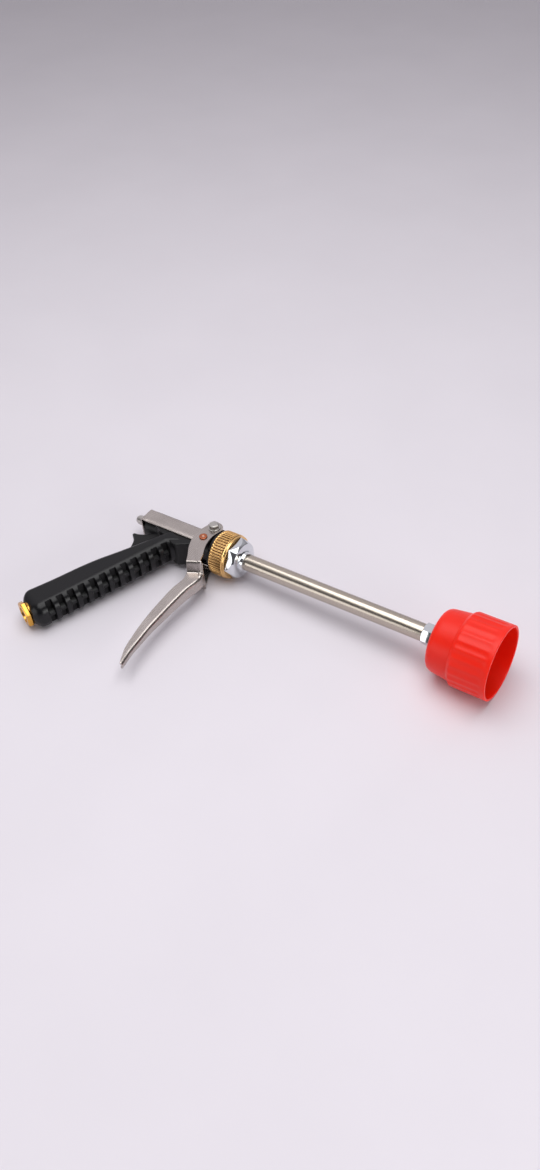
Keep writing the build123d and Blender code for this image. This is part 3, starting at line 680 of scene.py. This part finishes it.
begin = math_node(ridges, "ADD", size["Start"], size["Fade"])
rising = add_node(ridges, "ShaderNodeMapRange",
                  {"Value": axis["X"], "From Min": size["Start"], "From Max": begin},
                  interpolation_type="SMOOTHSTEP").outputs[0]
leave = math_node(ridges, "SUBTRACT", size["End"], size["Fade"])
falling = add_node(ridges, "ShaderNodeMapRange",
                   {"Value": axis["X"], "From Min": leave, "From Max": size["End"],
                    "To Min": 1.0, "To Max": 0.0},
                   interpolation_type="SMOOTHSTEP").outputs[0]
band = math_node(ridges, "MULTIPLY", rising, falling)
outer = math_node(ridges, "GREATER_THAN", radius, size["Outside of"])
band = math_node(ridges, "MULTIPLY", band, outer)
sunk = math_node(ridges, "MULTIPLY", valley, band)
inward = math_node(ridges, "MULTIPLY", sunk, size["Depth"])
inward = math_node(ridges, "MULTIPLY", inward, -1.0)
move = add_node(ridges, "ShaderNodeVectorMath", {0: outward, "Scale": inward}, operation="SCALE").outputs[0]
marked = add_node(ridges, "GeometryNodeStoreNamedAttribute",
                  {"Geometry": size["Geometry"], "Name": "valley", "Value": sunk}).outputs[0]
cut_mesh = add_node(ridges, "GeometryNodeSetPosition", {"Geometry": marked, "Offset": move}).outputs[0]
real = add_node(ridges, "GeometryNodeRealizeInstances", {"Geometry": cut_mesh}).outputs[0]
coated = add_node(ridges, "GeometryNodeSetMaterial",
                  {"Geometry": real, "Material": size["Material"]}).outputs[0]
add_node(ridges, "NodeGroupOutput", {"Geometry": coated})

# Knurled brass: the same brass, painted dark in the valleys of the knurl as painted shade.
knurled, tree, shader, place = start_finish("knurled_brass", Metallic=1.0)
stain = noise(tree, place, 160.0, 5.0)
tint = blend(tree, stain, "#e3af66", "#f6cf92")
valley_mark = add_node(tree, "ShaderNodeAttribute", attribute_name="valley").outputs["Fac"]
# The knurl's valleys are painted dark brown as painted shade.
knurl_valley_shaded = blend(tree, valley_mark, tint, "#6e3c12")
tree.links.new(knurl_valley_shaded, shader.inputs["Base Color"])
roughen(tree, shader, stain, 0.2, 0.3)

RING_BACK, RING_FRONT, RING_RADIUS = -228.0, -214.2, 17.3
ring_outline = soften([
    (RING_BACK, 13.55, 0.2), (RING_BACK, RING_RADIUS, 0.7), (RING_FRONT - 2.2, RING_RADIUS, 0.15),
    (RING_FRONT - 1.8, RING_RADIUS - 0.5, 0.15), (RING_FRONT, RING_RADIUS - 0.6, 0.5),
    (RING_FRONT, 12.2, 0.2),
    (RING_FRONT - 2.0, 12.2, 0), (RING_FRONT - 2.0, 13.55, 0),
])
ring_mesh = grown(turned("ring", divided(ring_outline, 0.5), 48 * 12), ridges, {
    "Count": 48.0, "Depth": 0.8 * MM, "Shape": 0.8, "Start": (RING_BACK + 0.9) * MM,
    "End": (RING_FRONT - 2.6) * MM, "Fade": 0.6 * MM, "Outside of": 15.5 * MM, "Material": knurled,
})
put_on("knurled_union_ring", ring_mesh, knurled, "union_ring", "brass", "union_ring", sharp=60)
for node in ("outlet_spigot", "swirl_core", "jet_insert"):
    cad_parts[node].data.materials[0] = brass
for node in ("lance_gasket", "cup_seal"):
    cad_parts[node].data.materials[0] = rubber

# ---------------------------------------------------------------- lance adapter and ferrule
# Chromed brass hexagons at both ends of the tube. The adapter's hexagon is turned down to a cone
# towards the tube; the ferrule is a plain small hexagon with the cup's thread in front.

# Chrome plate: a near mirror, cold white, with only faint polishing marks.
chrome, tree, shader, place = start_finish("polished_chrome_plate", Metallic=1.0)
polish = noise(tree, place, 220.0, 4.0)
tint = blend(tree, polish, "#d3d6da", "#e6e9ec")
tree.links.new(tint, shader.inputs["Base Color"])
roughen(tree, shader, polish, 0.05, 0.14)

for node in ("lance_adapter", "tube_ferrule"):
    fitting = baked(
        merged_copy(node),
        rounded(0.3 * MM, 3, 25),
    )
    put_on("chromed_" + node, fitting, chrome, "housing", "bright_chrome", node, sharp=30)

# ---------------------------------------------------------------- lance tube
# Half-inch drawn stainless tube with a 1 mm wall, brazed into the adapter and the ferrule.
# It was polished in a lathe, so its fine lines run round it.

# Drawn stainless tube: brighter than the sheet, hairlines 0.25 mm apart round the tube.
tube_steel, tree, shader, place = start_finish("polished_stainless_tube", Metallic=1.0)
hair = add_node(tree, "ShaderNodeMapping", {"Vector": place, "Scale": (1 / (0.25 * MM), 40.0, 40.0)})
lines = noise(tree, hair.outputs[0], 1.0, 3.0)
tint = blend(tree, lines, "#aca296", "#c4bbaf")
tree.links.new(tint, shader.inputs["Base Color"])
roughen(tree, shader, lines, 0.2, 0.3)
emboss(tree, shader, lines, 0.08, 0.02 * MM)

TUBE_BACK, TUBE_FRONT = -218.2, -50.0
tube_outline = soften([
    (TUBE_BACK, 5.35, 0), (TUBE_BACK, 6.35, 0.3), (TUBE_FRONT, 6.35, 0.3), (TUBE_FRONT, 5.35, 0),
])
put_on("drawn_lance_tube", turned("tube", divided(tube_outline, 12.0), 128), tube_steel, "housing",
       "tube_stainless", "lance_tube")

# ---------------------------------------------------------------- spray cup
# The cup is red plastic, injection moulded in one: a smooth bell behind, then a wider collar with
# shallow flutes for the fingers and a plain lip. It turns on the ferrule's thread.

# Moulded red plastic: strong orange-red, a soft gloss, and light that glows a little way into it.
red, tree, shader, place = start_finish("moulded_red_plastic", IOR=1.5, Specular_IOR_Level=0.3,
                                        Subsurface_Weight=0.45)
shader.inputs["Subsurface Radius"].default_value = (5.0 * MM, 0.8 * MM, 0.3 * MM)
shader.inputs["Subsurface Scale"].default_value = 1.0
flow = noise(tree, place, 35.0, 3.0)
tint = blend(tree, flow, "#ee1c08", "#f6280e")
tree.links.new(tint, shader.inputs["Base Color"])
skin = noise(tree, place, 1 / (0.6 * MM), 2.0)
roughen(tree, shader, skin, 0.32, 0.42)
emboss(tree, shader, skin, 0.08, 0.05 * MM)

cup_outline = soften([
    (-46.5, 6.3, 0.2), (-46.5, 22.3, 5.0), (-29.0, 24.4, 0.4), (-26.4, 26.9, 0.8), (0.0, 27.0, 0.6),
    (0.0, 25.1, 0.6), (-22.4, 25.1, 1.5), (-29.0, 22.5, 1.0), (-44.6, 20.4, 4.0), (-44.6, 9.5, 0.6),
    (-30.0, 9.5, 0.8), (-30.0, 4.6, 0.3), (-33.0, 4.6, 0), (-33.0, 3.2, 0), (-34.4, 3.2, 0), (-34.4, 6.3, 0),
])
cup_mesh = grown(turned("cup", divided(cup_outline, 1.2), 28 * 16), ridges, {
    "Count": 28.0, "Depth": 0.4 * MM, "Shape": 2.6, "Start": -27.6 * MM, "End": -3.0 * MM,
    "Fade": 2.0 * MM, "Outside of": 25.9 * MM, "Material": red,
})
put_on("red_spray_cup", cup_mesh, red, "spray_cup", "red_cup", "spray_cup", sharp=50)

# ---------------------------------------------------------------- table, light and camera
# A pale matt table, lying as the wand rests on it: on the cup's rim, the union ring and the grip's butt.
# A wide soft box overhead, a low one before the cup, a low one in front, and a pale room light it.

paper, tree, shader, place = start_finish("pale_matt_table", IOR=1.45)
mottle = noise(tree, place, 9.0, 4.0)
tint = blend(tree, mottle, "#ddd8df", "#e4dfe6")
tree.links.new(tint, shader.inputs["Base Color"])
fibre = noise(tree, place, 900.0, 2.0)
roughen(tree, shader, fibre, 0.6, 0.75)

under_cup, slope_x, slope_y = -27.0 * MM, -0.0439, -0.0186
table_rows = []
for x in (-3.0, 3.0):
    table_rows.append([Vector((x, y, under_cup + slope_x * x + slope_y * y - 0.0003)) for y in (-3.0, 3.0)])
table_mesh = grid_mesh("table", table_rows)
table = bpy.data.objects.new("table", table_mesh)
bpy.context.scene.collection.objects.link(table)
table_mesh.materials.append(paper)

world = bpy.data.worlds.new("pale_room")
world.use_nodes = True
room = world.node_tree
heading = add_node(room, "ShaderNodeTexCoord").outputs["Generated"]
toward_wall = add_node(room, "ShaderNodeVectorMath", {0: heading, 1: (-0.6, 0.55, 0.58)},
                       operation="DOT_PRODUCT").outputs["Value"]
glow = add_node(room, "ShaderNodeMapRange", {"Value": toward_wall, "From Min": 0.3, "From Max": 0.98,
                                             "To Min": 0.12, "To Max": 0.85}, interpolation_type="SMOOTHSTEP")
room.nodes["Background"].inputs["Color"].default_value = linear("#ece8ee")
room.links.new(glow.outputs["Result"], room.nodes["Background"].inputs["Strength"])
bpy.context.scene.world = world

target = Vector((-0.16, -0.03, 0.0))
for name, place_at, wide, power in (
    ("overhead_box", (-0.15, -0.05, 1.25), 1.2, 13.5),
    ("window_box", (1.1, -0.25, 0.25), 0.7, 7.0),
    ("front_box", (-0.75, -1.1, 0.22), 0.7, 2.8),
):
    light = bpy.data.lights.new(name, "AREA")
    light.shape = "SQUARE"
    light.size = wide
    light.energy = power
    lamp = bpy.data.objects.new(name, light)
    bpy.context.scene.collection.objects.link(lamp)
    lamp.location = place_at
    lamp.rotation_euler = (target - lamp.location).to_track_quat("-Z", "Y").to_euler()

camera_data = bpy.data.cameras.new("camera")
camera_data.sensor_width = 36.0
camera_data.lens = 31.64
camera_data.clip_start = 0.01
camera = bpy.data.objects.new("camera", camera_data)
bpy.context.scene.collection.objects.link(camera)
right = Vector((0.82954, 0.55326, -0.07591))
up = Vector((-0.33683, 0.60411, 0.72222))
toward = Vector((0.44543, -0.57354, 0.68749))
camera.matrix_world = Matrix.Translation((0.15722, -0.44075, 0.51364)) @ Matrix(
    (right, up, toward)).transposed().to_4x4()
bpy.context.scene.camera = camera
bpy.context.scene.view_settings.view_transform = "Standard"
